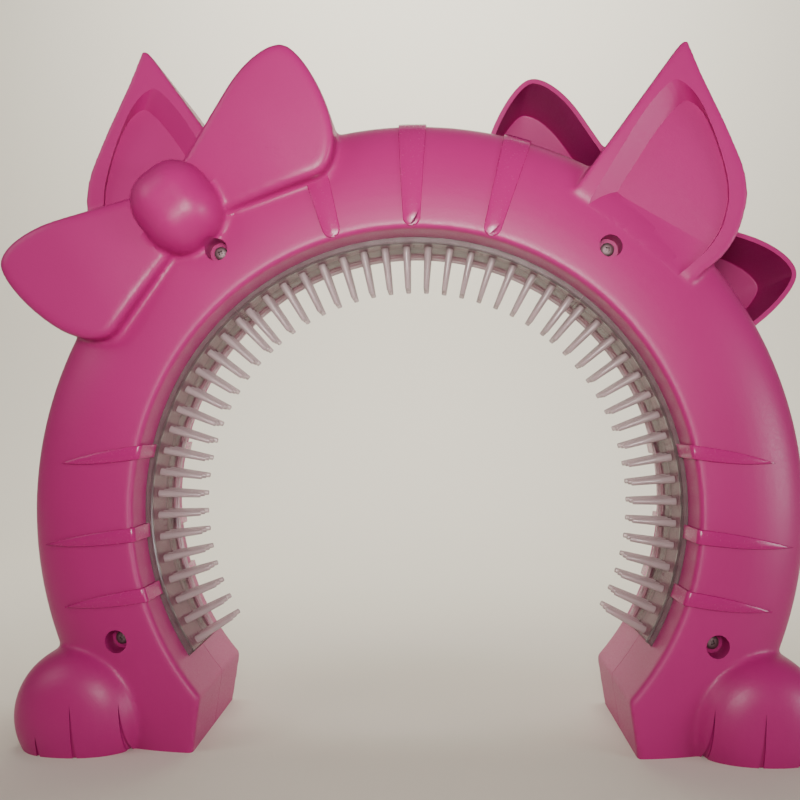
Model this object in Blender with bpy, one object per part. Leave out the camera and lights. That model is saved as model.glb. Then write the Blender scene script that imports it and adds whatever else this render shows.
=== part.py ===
"""Walk-through cat grooming arch.

Two hollow shells meet on a parting plane and hold three comb strips round the inside of the
arch. Four screws pass through cups in the front shell into posts of the rear shell.

Frame: X to the right, Y into the arch (the front faces -Y), +Z up, origin on the floor under the
middle of the arch. Lengths are in metres and angles in degrees.

A shell is described by flat coordinates (x, z) about the arch centre and by h, the height above
the parting plane. The rear shell is the front shell turned half a turn about the vertical.
"""

import math

import bmesh
import bpy
from mathutils import Matrix, Vector

# Arch
INNER_RADIUS = 0.1190
RING_WIDTH = 0.0490
OUTER_RADIUS = INNER_RADIUS + RING_WIDTH
HALF_DEPTH = 0.0390
CENTRE_HEIGHT = 0.1020
WALL = 0.0022
GAP = 0.0003
LIP_DRAFT = 0.0009
EDGE_ROUND = 0.0020
SHOULDER_HEIGHT = HALF_DEPTH - 0.0210
SHOULDER_POWER = 2.3
SHOULDER_TURNS = (68.0, 47.0, 30.0, 15.0, 0.0)
HOLLOW_TURNS = (60.0, 30.0, 0.0)
RING_STEP = 6.0
RING_START = -62.0

# Feet
FOOT_CORNER_ANGLE = -41.3
FOOT_SLANT = 0.0034
FOOT_OVERLAP = 0.0060
PAW_RADIUS = 0.0265
PAW_DEPTH = HALF_DEPTH + 0.0100
PAW_INSET = 0.0035
PAW_SHAPE = ((1.0, 0.66), (0.94, 0.82), (0.78, 0.93), (0.50, 0.985), (0.12, 1.0))
PAW_STEPS = 22
PAW_CENTRE_HEIGHT = 0.0180
TOE_GROOVE_WIDTH = 0.0016
TOE_GROOVE_DEPTH = 0.0028
TOE_GROOVE_LENGTH = 0.0250
TOE_GROOVE_PLACES = (-0.0145, 0.0030, 0.0215)
TOE_GROOVE_END_SHARE = 0.55

# Ears, in a frame on the arch's outline: across (away from the middle) and out from the outline
EAR_ANGLE = 51.0
EAR_HEIGHT = HALF_DEPTH - 0.0025
EAR_FLOOR = EAR_HEIGHT - 0.0080
EAR_INNER_BASE = (-0.0320, -0.0140)
EAR_TIP = (-0.0357, 0.0586)
EAR_TIP_PULL = (-0.0080, 0.0460)
EAR_OUTER_PULL = (0.0330, 0.0300)
EAR_OUTER = (0.0335, -0.0010)
EAR_OUTER_BASE = (0.0310, -0.0140)
EAR_RIM = 0.0045
EAR_DISH_SLOPE = 0.0030
EAR_DISH_DROP = 0.0200
EAR_DRAFT = 0.0008
EAR_CURVE_STEPS = 7

# Bow, in the same kind of frame: along the bow and out from the outline
BOW_ANGLE = 127.2
BOW_HEIGHT = HALF_DEPTH + 0.0065
BOW_ROUND = 0.0060
BOW_ROUND_TURNS = (0.0, 30.0, 60.0, 90.0)
BOW_WEB_HALF_ANGLE = 32.0
LOBE_CURVE_STEPS = 2
LOBE_POINTS = (
    (0.008, 0.008), (0.034, 0.016), (0.058, 0.0255), (0.072, 0.0260), (0.080, 0.0150),
    (0.0785, -0.004), (0.0715, -0.022), (0.059, -0.0335), (0.036, -0.028), (0.008, -0.018),
)
KNOT_HALF_WIDTH = 0.0175
KNOT_HALF_LENGTH = 0.0195
KNOT_OUT = -0.0065
KNOT_HEIGHT = HALF_DEPTH + 0.0180
KNOT_WAIST = 0.0060
KNOT_SQUARENESS = 0.8
KNOT_SHAPE = ((0.45, 0.90), (0.80, 0.68), (0.97, 0.36), (1.0, 0.08))

# Stripes
STRIPE_RISE = 0.0010
STRIPE_HALF_ANGLE = 7.5
STRIPE_LOW_SHARE = 0.87
TOP_STRIPE_INSET = 0.0010
TOP_STRIPE_ANGLES = (106.0, 90.0, 74.0)
TOP_STRIPE_WIDTHS = (0.0080, 0.0135)
SIDE_STRIPE_ANGLES = (12.0, -5.0, -17.3)
SIDE_STRIPE_WIDTH = 0.0062
SIDE_STRIPE_REACH = 0.0360
SIDE_STRIPE_SHAPE = ((0.0140, 0.93), (0.0280, 0.42))
SIDE_STRIPE_OVERLAP = 0.0040

# Combs
COMB_SPAN = 81.2
COMB_SEAM = 0.15
COMB_TURN = 1.65
COMB_HALF_WIDTH = 0.0214
COMB_RIM_WIDTH = 0.0022
COMB_RIM_RISE = 0.0015
COMB_FLOOR_RADIUS = INNER_RADIUS - 0.0017
COMB_FLOOR = 0.0018
COMB_FLANGE = 0.0050
COMB_FLANGE_THICKNESS = 0.0016
COMB_STEPS = 17
COMB_RIB_OVERLAP = 0.0060
PIN_COLUMNS = 17
PIN_ROWS = (-0.0074, 0.0, 0.0074)
PIN_END_INSET = 1.6
PIN_TIP_RADIUS = COMB_FLOOR_RADIUS - 0.0195
PIN_BASE_WIDTH = 0.0036
PIN_TIP_WIDTH = 0.0023
PIN_SIDES = 4
PIN_ROOT = 0.0008

# Screws
UPPER_SCREW = (INNER_RADIUS + 0.4 * RING_WIDTH, 53.0)
LOWER_SCREW = (INNER_RADIUS + 0.38 * RING_WIDTH, -23.9)
SCREW_HOLE_RADIUS = 0.0050
SCREW_SEAT = HALF_DEPTH - 0.0110
CUP_WALL = 0.0020
SCREW_HEAD_RADIUS = 0.0029
SCREW_HEAD_HEIGHT = 0.0022
SCREW_SHANK_RADIUS = 0.0015
SCREW_LENGTH = 0.0160
SCREW_POINT = 0.0020
SCREW_POINT_SHARE = 0.3
SCREW_HEAD_SHAPE = ((1.0, 0.6), (0.7, 1.0))
POST_RADIUS = 0.0045
ROUND_STEPS = 20
SHARP_ANGLE = 32.0

# How far a root runs past the surface it crosses, and how far a cutter runs clear of the arch
OVERRUN = 0.0010
CLEAR = 0.0100
REACH = 0.3000

PINK = ("pink_plastic", (0.47, 0.065, 0.19, 1.0), 0.36, 0.0)
SMOKE = ("smoky_plastic", (0.42, 0.36, 0.36, 1.0), 0.25, 0.0)
STEEL = ("steel", (0.55, 0.55, 0.56, 1.0), 0.30, 1.0)


def clear_scene():
    """Remove whatever the scene holds."""
    for item in list(bpy.data.objects):
        bpy.data.objects.remove(item, do_unlink=True)


def make_material(name, colour, roughness, metallic):
    """Make a Principled material of one colour."""
    material = bpy.data.materials.new(name)
    material.use_nodes = True
    shader = material.node_tree.nodes["Principled BSDF"]
    shader.inputs["Base Color"].default_value = colour
    shader.inputs["Roughness"].default_value = roughness
    shader.inputs["Metallic"].default_value = metallic
    return material


def polar(radius, angle):
    """Flat coordinates of a point given by radius and angle about the arch centre."""
    return (radius * math.cos(math.radians(angle)), radius * math.sin(math.radians(angle)))


def on_shell(x, z, h):
    """World position of a front-shell point."""
    return Vector((x, -h, z + CENTRE_HEIGHT))


def on_outline(angle, along, out):
    """Flat coordinates of a point in the frame that sits on the arch's outline at an angle."""
    out_x, out_z = polar(1.0, angle)
    radius = OUTER_RADIUS + out
    return (radius * out_x + along * out_z, radius * out_z - along * out_x)


def solid_from(mesh_data, name):
    """Turn a bmesh into an object with its faces pointing out."""
    bmesh.ops.remove_doubles(mesh_data, verts=mesh_data.verts, dist=1e-6)
    bmesh.ops.recalc_face_normals(mesh_data, faces=mesh_data.faces)
    mesh = bpy.data.meshes.new(name)
    mesh_data.to_mesh(mesh)
    mesh_data.free()
    item = bpy.data.objects.new(name, mesh)
    bpy.context.scene.collection.objects.link(item)
    return item


def combine(target, tool, operation):
    """Apply an exact boolean to the target and remove the tool."""
    modifier = target.modifiers.new("combine", "BOOLEAN")
    modifier.operation = operation
    modifier.solver = "EXACT"
    modifier.object = tool
    bpy.context.view_layer.update()
    evaluated = target.evaluated_get(bpy.context.evaluated_depsgraph_get())
    result = bpy.data.meshes.new_from_object(evaluated)
    target.modifiers.clear()
    target.data = result
    bpy.data.objects.remove(tool, do_unlink=True)
    return target


def loft(layers, name):
    """Closed solid through layers of equally many world points."""
    data = bmesh.new()
    rings = [[data.verts.new(point) for point in layer] for layer in layers]
    for lower, upper in zip(rings, rings[1:]):
        for index in range(len(lower)):
            after = (index + 1) % len(lower)
            data.faces.new((lower[index], lower[after], upper[after], upper[index]))
    data.faces.new(rings[0])
    data.faces.new(rings[-1])
    return solid_from(data, name)


def prism(outline, low, high, name):
    """Straight prism on a flat outline between two heights over the parting plane."""
    return loft([[on_shell(x, z, h) for x, z in outline] for h in (low, high)], name)


def offset(outline, distance):
    """Move a counter-clockwise flat outline inwards by an even distance."""
    moved = []
    for index, point in enumerate(outline):
        before = Vector(point) - Vector(outline[index - 1])
        after = Vector(outline[(index + 1) % len(outline)]) - Vector(point)
        normal_before = Vector((-before.y, before.x)).normalized()
        normal_after = Vector((-after.y, after.x)).normalized()
        middle = (normal_before + normal_after).normalized()
        reach = distance / max(middle.dot(normal_after), 0.3)
        moved.append(tuple(Vector(point) + middle * reach))
    return moved


def bezier(start, pull_start, pull_end, end, count):
    """Points along a cubic curve, without its last point."""
    points = []
    for index in range(count):
        t = index / count
        weights = ((1 - t) ** 3, 3 * t * (1 - t) ** 2, 3 * t * t * (1 - t), t ** 3)
        corners = (start, pull_start, pull_end, end)
        points.append(tuple(sum(w * c[axis] for w, c in zip(weights, corners)) for axis in (0, 1)))
    return points


def smooth_loop(points, count):
    """Closed Catmull-Rom curve through the points."""
    result = []
    total = len(points)
    for index in range(total):
        p0, p1, p2, p3 = (points[(index + shift) % total] for shift in (-1, 0, 1, 2))
        pull_1 = tuple(b + (c - a) / 6 for a, b, c in zip(p0, p1, p2))
        pull_2 = tuple(c - (d - b) / 6 for b, c, d in zip(p1, p2, p3))
        result += bezier(p1, pull_1, pull_2, p2, count)
    return result


def spun(profile, start, end, steps, name):
    """Spin a closed (radius, h) profile about the arch axis between two angles."""
    data = bmesh.new()
    corners = [data.verts.new(on_shell(*polar(radius, start), h)) for radius, h in profile]
    face = data.faces.new(corners)
    bmesh.ops.spin(
        data, geom=[face] + list(face.edges) + corners, cent=on_shell(0, 0, 0), axis=(0, -1, 0),
        angle=math.radians(end - start), steps=steps, use_merge=False, use_duplicate=False,
    )
    return solid_from(data, name)


def turned(profile, x, z, steps, name):
    """Closed turned solid about an axis across the shell; the profile runs from axis to axis."""
    layers = []
    for radius, h in profile:
        layers.append([
            on_shell(x + radius * math.cos(2 * math.pi * k / steps),
                     z + radius * math.sin(2 * math.pi * k / steps), h)
            for k in range(steps)
        ])
    return loft(layers, name)


def ring_profile(inset, low, turns):
    """Section of the arch, from the inner lip over the face and shoulder to the outer wall."""
    inner = INNER_RADIUS + inset
    outer = OUTER_RADIUS - inset
    top = HALF_DEPTH - inset
    crown = inner + EDGE_ROUND
    section = [(inner - LIP_DRAFT, low), (inner, top - EDGE_ROUND)]
    section += [(inner + EDGE_ROUND * 0.3, top - EDGE_ROUND * 0.3), (crown, top)]
    shoulder = SHOULDER_HEIGHT - inset
    for degrees in turns:
        angle = math.radians(degrees)
        across = math.cos(angle) ** (2 / SHOULDER_POWER)
        rise = math.sin(angle) ** (2 / SHOULDER_POWER)
        section.append((crown + (outer - crown) * across, shoulder + (top - shoulder) * rise))
    section.append((outer, low))
    return section


def doorway(inset):
    """Cutter that leaves the inner faces of the feet, moved into the feet by the inset."""
    corner_x, corner_z = polar(INNER_RADIUS, FOOT_CORNER_ANGLE)
    slope = FOOT_SLANT / (CENTRE_HEIGHT + corner_z)
    top = corner_z + FOOT_OVERLAP
    bottom = -CENTRE_HEIGHT - CLEAR
    wide = corner_x + inset + slope * (corner_z - bottom)
    narrow = corner_x + inset - slope * (top - corner_z)
    outline = [(-wide, bottom), (wide, bottom), (narrow, top), (-narrow, top)]
    return prism(outline, -OVERRUN * 3, HALF_DEPTH + CLEAR, "doorway")


def ground(inset):
    """Cutter that leaves the flat soles, raised by the inset."""
    top = -CENTRE_HEIGHT + inset
    outline = [(-REACH, top - REACH), (REACH, top - REACH), (REACH, top), (-REACH, top)]
    return prism(outline, -OVERRUN * 8, KNOT_HEIGHT + CLEAR, "ground")


def ring(inset):
    """The arch itself, moved inwards by the inset on every side."""
    end = 180.0 - RING_START
    steps = round((end - RING_START) / RING_STEP)
    turns = HOLLOW_TURNS if inset > 0 else SHOULDER_TURNS
    body = spun(ring_profile(inset, -OVERRUN, turns), RING_START, end, steps, "ring")
    combine(body, doorway(inset), "DIFFERENCE")
    return body


def mirrored(outline, side):
    """Outline of the right or left feature, kept counter-clockwise."""
    if side > 0:
        return outline
    return [(-x, z) for x, z in reversed(outline)]


def ear_outline():
    """Right ear: straight inner edge, pointed tip, rounded outer edge, straight base."""
    points = [EAR_INNER_BASE, EAR_OUTER_BASE]
    curve = bezier(EAR_TIP, EAR_TIP_PULL, EAR_OUTER_PULL, EAR_OUTER, EAR_CURVE_STEPS)
    curve.append(EAR_OUTER)
    points += reversed(curve)
    return [on_outline(EAR_ANGLE, along, out) for along, out in points]


def ear(side):
    """Ear with a dished front that is open at its base."""
    outline = ear_outline()
    draft = offset(outline, EAR_DRAFT)
    layers = [(outline, -OVERRUN * 1.5), (outline, EAR_HEIGHT - EAR_DRAFT), (draft, EAR_HEIGHT)]
    body = loft([[on_shell(x, z, h) for x, z in mirrored(o, side)] for o, h in layers], "ear")
    rim = offset(outline, EAR_RIM)
    down_x, down_z = polar(EAR_DISH_DROP, EAR_ANGLE)
    rim[0] = (rim[0][0] - down_x, rim[0][1] - down_z)
    rim[1] = (rim[1][0] - down_x, rim[1][1] - down_z)
    floor = offset(rim, EAR_DISH_SLOPE)
    layers = [(floor, EAR_FLOOR), (rim, EAR_HEIGHT), (rim, EAR_HEIGHT + CLEAR)]
    dish = loft([[on_shell(x, z, h) for x, z in mirrored(o, side)] for o, h in layers], "dish")
    return combine(body, dish, "DIFFERENCE")


def ear_cavity(side):
    """Hollow of an ear, a wall inside its outline and under its dish."""
    outline = offset(ear_outline(), WALL)
    return prism(mirrored(outline, side), -OVERRUN * 1.5, EAR_FLOOR - WALL, "ear_cavity")


def paw_place():
    """Flat coordinates of the right paw's axis."""
    along_sole = math.sqrt(OUTER_RADIUS ** 2 - (CENTRE_HEIGHT - PAW_CENTRE_HEIGHT) ** 2)
    return (along_sole - PAW_INSET, -CENTRE_HEIGHT + PAW_CENTRE_HEIGHT)


def paw(side, inset):
    """Round paw, deeper than the arch, moved inwards by the inset."""
    x, z = paw_place()
    radius = PAW_RADIUS - inset
    depth = PAW_DEPTH - inset
    profile = [(radius, -OVERRUN * 2)]
    profile += [(radius * across, depth * rise) for across, rise in PAW_SHAPE]
    return turned(profile, side * x, z, PAW_STEPS, "paw")


def toe_grooves(side):
    """Wedge cutters that part the toes."""
    x, z = paw_place()
    cutters = []
    for place in TOE_GROOVE_PLACES:
        middle = side * (x + place)
        reach = math.sqrt(PAW_RADIUS ** 2 - place ** 2) / PAW_RADIUS
        share = PAW_SHAPE[0][1]
        surface = PAW_DEPTH * (share + (1 - share) * reach)
        low = -CENTRE_HEIGHT - OVERRUN
        share = TOE_GROOVE_END_SHARE
        high = low + TOE_GROOVE_LENGTH * (share + (1 - share) * reach)
        half = TOE_GROOVE_WIDTH / 2
        outline = [(middle - half, low), (middle + half, low), (middle, high)]
        cutters.append(prism(outline, surface - TOE_GROOVE_DEPTH, PAW_DEPTH + CLEAR, "groove"))
    return cutters


def lobe(side, inset):
    """One half of the bow: a flat pillow with a rounded front edge."""
    outline = [(side * along, out) for along, out in smooth_loop(LOBE_POINTS, LOBE_CURVE_STEPS)]
    flat = [on_outline(BOW_ANGLE, along, out) for along, out in outline]
    if side > 0:
        flat.reverse()
    top = BOW_HEIGHT - inset
    layers = []
    for degrees in BOW_ROUND_TURNS:
        angle = math.radians(degrees)
        shrink = inset + BOW_ROUND * (1 - math.cos(angle))
        layers.append((shrink, top - BOW_ROUND * (1 - math.sin(angle))))
    layers.insert(0, (inset, -OVERRUN * (3 + side / 2)))
    return loft([[on_shell(x, z, h) for x, z in offset(flat, shrink)] for shrink, h in layers],
                "lobe")


def knot_layer(width, length, h):
    """Soft square of the knot at one height."""
    x, z = on_outline(BOW_ANGLE, 0.0, KNOT_OUT)
    out_x, out_z = polar(1.0, BOW_ANGLE)
    layer = []
    for step in range(ROUND_STEPS):
        cosine, sine = polar(1.0, 360.0 * step / ROUND_STEPS)
        along = width * math.copysign(abs(cosine) ** KNOT_SQUARENESS, cosine)
        out = length * math.copysign(abs(sine) ** KNOT_SQUARENESS, sine)
        layer.append(on_shell(x + along * out_z + out * out_x, z - along * out_x + out * out_z, h))
    return layer


def knot(inset):
    """Knot in the middle of the bow: a soft square pillow."""
    width = KNOT_HALF_WIDTH - inset
    length = KNOT_HALF_LENGTH - inset
    top = KNOT_HEIGHT - inset
    waist = HALF_DEPTH - KNOT_WAIST
    layers = [knot_layer(width, length, h) for h in (-OVERRUN * 4, waist)]
    for rise, share in KNOT_SHAPE:
        layers.append(knot_layer(width * share, length * share, waist + (top - waist) * rise))
    return loft(layers, "knot")


def bow(inset):
    """The whole bow as one solid."""
    body = lobe(1, inset)
    combine(body, lobe(-1, inset), "UNION")
    return combine(body, knot(inset), "UNION")


def top_stripe(angle):
    """Outline of a stripe that widens from a round inner end to the arch's outline."""
    inner = INNER_RADIUS + TOP_STRIPE_INSET
    outer = OUTER_RADIUS + CLEAR
    half_inner, half_outer = (width / 2 for width in TOP_STRIPE_WIDTHS)
    points = []
    for degrees in range(180, 361, 30):
        across, rise = polar(half_inner, degrees)
        points.append((across, inner + half_inner + rise))
    points += [(half_outer, outer), (-half_outer, outer)]
    out_x, out_z = polar(1.0, angle)
    return [(radius * out_x + across * out_z, radius * out_z - across * out_x)
            for across, radius in points]


def side_stripe(angle, side):
    """Outline of a stripe that starts at the inner edge and tapers to a point outwards."""
    half = SIDE_STRIPE_WIDTH / 2
    inner = INNER_RADIUS - SIDE_STRIPE_OVERLAP
    edge = [(half, inner)]
    edge += [(half * share, inner + reach) for reach, share in SIDE_STRIPE_SHAPE]
    points = edge + [(0.0, INNER_RADIUS + SIDE_STRIPE_REACH)]
    points += [(-across, radius) for across, radius in reversed(edge)]
    out_x, out_z = polar(1.0, angle)
    flat = [(radius * out_x - across * out_z, radius * out_z + across * out_x)
            for across, radius in points]
    flat.reverse()
    return mirrored(flat, side)


def stripes():
    """Raised stripes, as the part of a thicker arch that lies inside their outlines."""
    raised = []
    outlines = [(top_stripe(angle), angle) for angle in TOP_STRIPE_ANGLES]
    for angle in SIDE_STRIPE_ANGLES:
        outlines.append((side_stripe(angle, 1), angle))
        outlines.append((side_stripe(angle, -1), 180.0 - angle))
    for outline, angle in outlines:
        profile = ring_profile(-STRIPE_RISE, SHOULDER_HEIGHT * STRIPE_LOW_SHARE, SHOULDER_TURNS)
        band = spun(profile, angle - STRIPE_HALF_ANGLE, angle + STRIPE_HALF_ANGLE, 3, "stripe")
        cutter = prism(outline, 0.0, HALF_DEPTH + CLEAR, "outline")
        raised.append(combine(band, cutter, "INTERSECT"))
    return raised


def comb_range(turn):
    """First and last angle of the comb strips, which sit a little round from the middle."""
    middle = 90.0 + turn
    return (middle - 1.5 * COMB_SPAN, middle + 1.5 * COMB_SPAN)


def flange_radii():
    """Inner and outer radius of the comb flange, which lies behind the shell's lip."""
    inner = INNER_RADIUS + WALL + GAP
    return (inner, inner + COMB_FLANGE_THICKNESS)


def comb_rib(turn):
    """Rib that backs the comb flange, so that the flange sits in a groove."""
    start, end = comb_range(turn)
    inner = flange_radii()[1] + GAP
    outer = inner + WALL
    low = COMB_HALF_WIDTH - COMB_RIB_OVERLAP
    high = HALF_DEPTH - WALL / 2
    profile = [(inner, low), (outer, low), (outer, high), (inner, high)]
    return spun(profile, start, end, round((end - start) / RING_STEP), "rib")


def comb_pocket(turn):
    """Cutter for the band of the arch that the comb strips fill."""
    start, end = comb_range(turn)
    margin = math.degrees(GAP / INNER_RADIUS)
    outer = sum(flange_radii()) / 2
    inner = COMB_FLOOR_RADIUS - CLEAR
    top = COMB_HALF_WIDTH + GAP
    profile = [(inner, -OVERRUN * 2), (outer, -OVERRUN * 2), (outer, top), (inner, top)]
    steps = round((end - start) / RING_STEP)
    return spun(profile, start - margin, end + margin, steps, "pocket")


def screw_places():
    """Flat coordinates of the four screws, by name."""
    upper_x, upper_z = polar(*UPPER_SCREW)
    lower_x, lower_z = polar(*LOWER_SCREW)
    return {
        "upper_left": (-upper_x, upper_z), "upper_right": (upper_x, upper_z),
        "lower_left": (-lower_x, lower_z), "lower_right": (lower_x, lower_z),
    }


def cylinder(x, z, radius, low, high, name):
    """Plain cylinder across the shell."""
    return turned([(radius, low), (radius, high)], x, z, ROUND_STEPS, name)


def outer_skin():
    """Everything of the front shell's outside, as one solid."""
    body = ring(0.0)
    for side in (1, -1):
        combine(body, ear(side), "UNION")
        foot = paw(side, 0.0)
        for cutter in toe_grooves(side):
            combine(foot, cutter, "DIFFERENCE")
        combine(body, foot, "UNION")
    combine(body, bow(0.0), "UNION")
    for raised in stripes():
        combine(body, raised, "UNION")
    corners = [(-REACH, -REACH), (REACH, -REACH), (REACH, REACH), (-REACH, REACH)]
    half_space = prism(corners, -CLEAR, GAP / 2, "half_space")
    combine(body, half_space, "DIFFERENCE")
    return combine(body, ground(0.0), "DIFFERENCE")


def hollow():
    """Inside of the shell, a wall inside its outside."""
    body = ring(WALL)
    for side in (1, -1):
        combine(body, ear_cavity(side), "UNION")
        combine(body, paw(side, WALL), "UNION")
    combine(body, bow(WALL), "UNION")
    inner = OUTER_RADIUS - WALL
    low = -OVERRUN * 6
    section = [(inner, low), (OUTER_RADIUS, low), (OUTER_RADIUS, BOW_HEIGHT), (inner, BOW_HEIGHT)]
    start = BOW_ANGLE - BOW_WEB_HALF_ANGLE
    steps = round(2 * BOW_WEB_HALF_ANGLE / RING_STEP) + 2
    web = spun(section, start, start + 2 * BOW_WEB_HALF_ANGLE, steps, "web")
    combine(body, web, "DIFFERENCE")
    return combine(body, ground(WALL), "DIFFERENCE")


def shell(name, turn):
    """Hollow shell with the comb groove, still without its screw posts."""
    body = outer_skin()
    combine(body, hollow(), "DIFFERENCE")
    combine(body, comb_rib(turn), "UNION")
    combine(body, comb_pocket(turn), "DIFFERENCE")
    body.name = name
    return body


def add_cups(body):
    """Cups in the front shell that sink the screw heads below the face."""
    outer = SCREW_HOLE_RADIUS + CUP_WALL
    for x, z in screw_places().values():
        low = SCREW_SEAT - CUP_WALL
        combine(body, cylinder(x, z, outer, low, HALF_DEPTH - WALL * 1.5, "cup"), "UNION")
        mouth = cylinder(x, z, SCREW_HOLE_RADIUS, SCREW_SEAT, HALF_DEPTH + CLEAR, "mouth")
        combine(body, mouth, "DIFFERENCE")
        clear = SCREW_SHANK_RADIUS + GAP
        combine(body, cylinder(x, z, clear, low - OVERRUN, HALF_DEPTH, "clear"), "DIFFERENCE")
    return body


def add_posts(body):
    """Posts of the rear shell that reach to the cups and take the screws."""
    for x, z in screw_places().values():
        tip = -(SCREW_SEAT - CUP_WALL - GAP)
        combine(body, cylinder(x, z, POST_RADIUS, tip, HALF_DEPTH - WALL * 1.5, "post"), "UNION")
        pilot = cylinder(x, z, SCREW_SHANK_RADIUS + GAP, tip - OVERRUN, tip + SCREW_LENGTH, "pilot")
        combine(body, pilot, "DIFFERENCE")
    return body


def comb_profile():
    """Section of a comb strip: floor, two rims and two flanges."""
    half = COMB_HALF_WIDTH
    rim = half - COMB_RIM_WIDTH
    floor = COMB_FLOOR_RADIUS
    back = floor + COMB_FLOOR
    flange_inner, flange_outer = flange_radii()
    right = [(floor, rim), (floor - COMB_RIM_RISE, rim), (floor - COMB_RIM_RISE, half),
             (flange_inner, half), (flange_inner, half + COMB_FLANGE),
             (flange_outer, half + COMB_FLANGE), (flange_outer, rim), (back, rim)]
    return right + [(radius, -h) for radius, h in reversed(right)]


def pin(angle, h, name):
    """Tapered pin that points at the arch centre."""
    inward = -Vector((math.cos(math.radians(angle)), 0.0, math.sin(math.radians(angle))))
    side = Vector((0.0, 1.0, 0.0)).cross(inward)
    centre = on_shell(0.0, 0.0, h)
    layers = []
    for radius, width in ((COMB_FLOOR_RADIUS + PIN_ROOT, PIN_BASE_WIDTH), (PIN_TIP_RADIUS, PIN_TIP_WIDTH)):
        layer = []
        for k in range(PIN_SIDES):
            turn = 2 * math.pi * (k + 0.5) / PIN_SIDES
            across = side * math.cos(turn) + Vector((0.0, 1.0, 0.0)) * math.sin(turn)
            layer.append(centre - inward * radius + across * (width / 2))
        layers.append(layer)
    return loft(layers, name)


def join(items, name):
    """Join separate solids into one object."""
    data = bmesh.new()
    for item in items:
        data.from_mesh(item.data)
        bpy.data.objects.remove(item, do_unlink=True)
    return solid_from(data, name)


def comb(name, start):
    """Comb strip with its rows of pins."""
    seam = COMB_SEAM / 2
    end = start + COMB_SPAN
    body = spun(comb_profile(), start + seam, end - seam, COMB_STEPS, name)
    pitch = (COMB_SPAN - 2 * PIN_END_INSET) / (PIN_COLUMNS - 1)
    pins = []
    for column in range(PIN_COLUMNS):
        for row in PIN_ROWS:
            pins.append(pin(start + PIN_END_INSET + column * pitch, row, "pin"))
    combine(body, join(pins, "pins"), "UNION")
    return body


def screw(name, x, z):
    """Pan-head screw that seats in its cup."""
    seat = SCREW_SEAT + GAP
    tip = seat - SCREW_LENGTH
    profile = [
        (SCREW_SHANK_RADIUS * SCREW_POINT_SHARE, tip), (SCREW_SHANK_RADIUS, tip + SCREW_POINT),
        (SCREW_SHANK_RADIUS, seat), (SCREW_HEAD_RADIUS, seat),
    ]
    for across, rise in SCREW_HEAD_SHAPE:
        profile.append((SCREW_HEAD_RADIUS * across, seat + SCREW_HEAD_HEIGHT * rise))
    return turned(profile, x, z, ROUND_STEPS, name)


def finish(item, material):
    """Give a piece its material and smooth its round faces."""
    item.data.materials.clear()
    item.data.materials.append(material)
    item.data.shade_smooth()
    item.data.set_sharp_from_angle(angle=math.radians(SHARP_ANGLE))


def main():
    """Build every piece."""
    clear_scene()
    pink = make_material(*PINK)
    smoke = make_material(*SMOKE)
    steel = make_material(*STEEL)

    front = add_cups(shell("front_shell", COMB_TURN))
    rear = add_posts(shell("rear_shell", -COMB_TURN))
    rear.data.transform(Matrix.Rotation(math.pi, 4, "Z"))
    finish(front, pink)
    finish(rear, pink)

    start = comb_range(COMB_TURN)[0]
    for index, name in enumerate(("right_comb", "top_comb", "left_comb")):
        finish(comb(name, start + index * COMB_SPAN), smoke)

    for place, (x, z) in screw_places().items():
        finish(screw("screw_" + place, x, z), steel)


main()
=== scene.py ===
"""Looks of the walk-through cat grooming arch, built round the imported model.

Frame: X to the right, Y into the arch (the front faces -Y), +Z up, origin on the floor under the
middle of the arch. Sizes are in millimetres in the dataclasses and turned to metres where a mesh
is made. A shell is described by flat coordinates (x, z) about the arch centre and by the height h
over the plane where the two shells meet.
"""

import logging
import math
import sys
from dataclasses import dataclass, field
from enum import Enum
from typing import Callable, Iterable, Sequence

import bmesh  # noqa: E402
import bpy  # noqa: E402
from mathutils import Matrix, Vector  # noqa: E402

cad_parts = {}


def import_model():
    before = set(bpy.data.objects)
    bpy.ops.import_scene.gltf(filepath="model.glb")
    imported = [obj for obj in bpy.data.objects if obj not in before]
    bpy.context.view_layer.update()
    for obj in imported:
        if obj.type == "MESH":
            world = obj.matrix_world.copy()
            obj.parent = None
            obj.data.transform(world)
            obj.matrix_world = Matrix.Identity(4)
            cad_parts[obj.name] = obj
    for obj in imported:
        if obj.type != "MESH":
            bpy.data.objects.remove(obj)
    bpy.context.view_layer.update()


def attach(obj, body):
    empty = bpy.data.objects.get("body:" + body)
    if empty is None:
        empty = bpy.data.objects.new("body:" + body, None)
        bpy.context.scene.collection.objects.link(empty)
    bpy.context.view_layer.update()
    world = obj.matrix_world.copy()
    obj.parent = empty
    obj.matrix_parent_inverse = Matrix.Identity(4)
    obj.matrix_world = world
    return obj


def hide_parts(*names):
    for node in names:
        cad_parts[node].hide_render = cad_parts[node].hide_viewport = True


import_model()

LOG = logging.getLogger("grooming_arch")
MM = 0.001

Flat = tuple[float, float]


class Side(Enum):
    """Which side of the arch a feature is on, seen from the front."""

    LEFT = -1
    RIGHT = 1


class Face(Enum):
    """Which half of the arch a shell makes."""

    FRONT = "front"
    REAR = "rear"


# ---------------------------------------------------------------------------------------------
# Colours and node helpers
# ---------------------------------------------------------------------------------------------


def linear(code: str) -> tuple[float, float, float, float]:
    """Turn an sRGB hex colour into linear red, green, blue and alpha.

    Args:
        code: six hex digits with a leading hash.

    Returns:
        The linear colour with an alpha of one.
    """
    parts = [int(code[i : i + 2], 16) / 255 for i in (1, 3, 5)]
    red, green, blue = (
        part / 12.92 if part <= 0.04045 else ((part + 0.055) / 1.055) ** 2.4 for part in parts
    )
    return (red, green, blue, 1.0)


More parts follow.
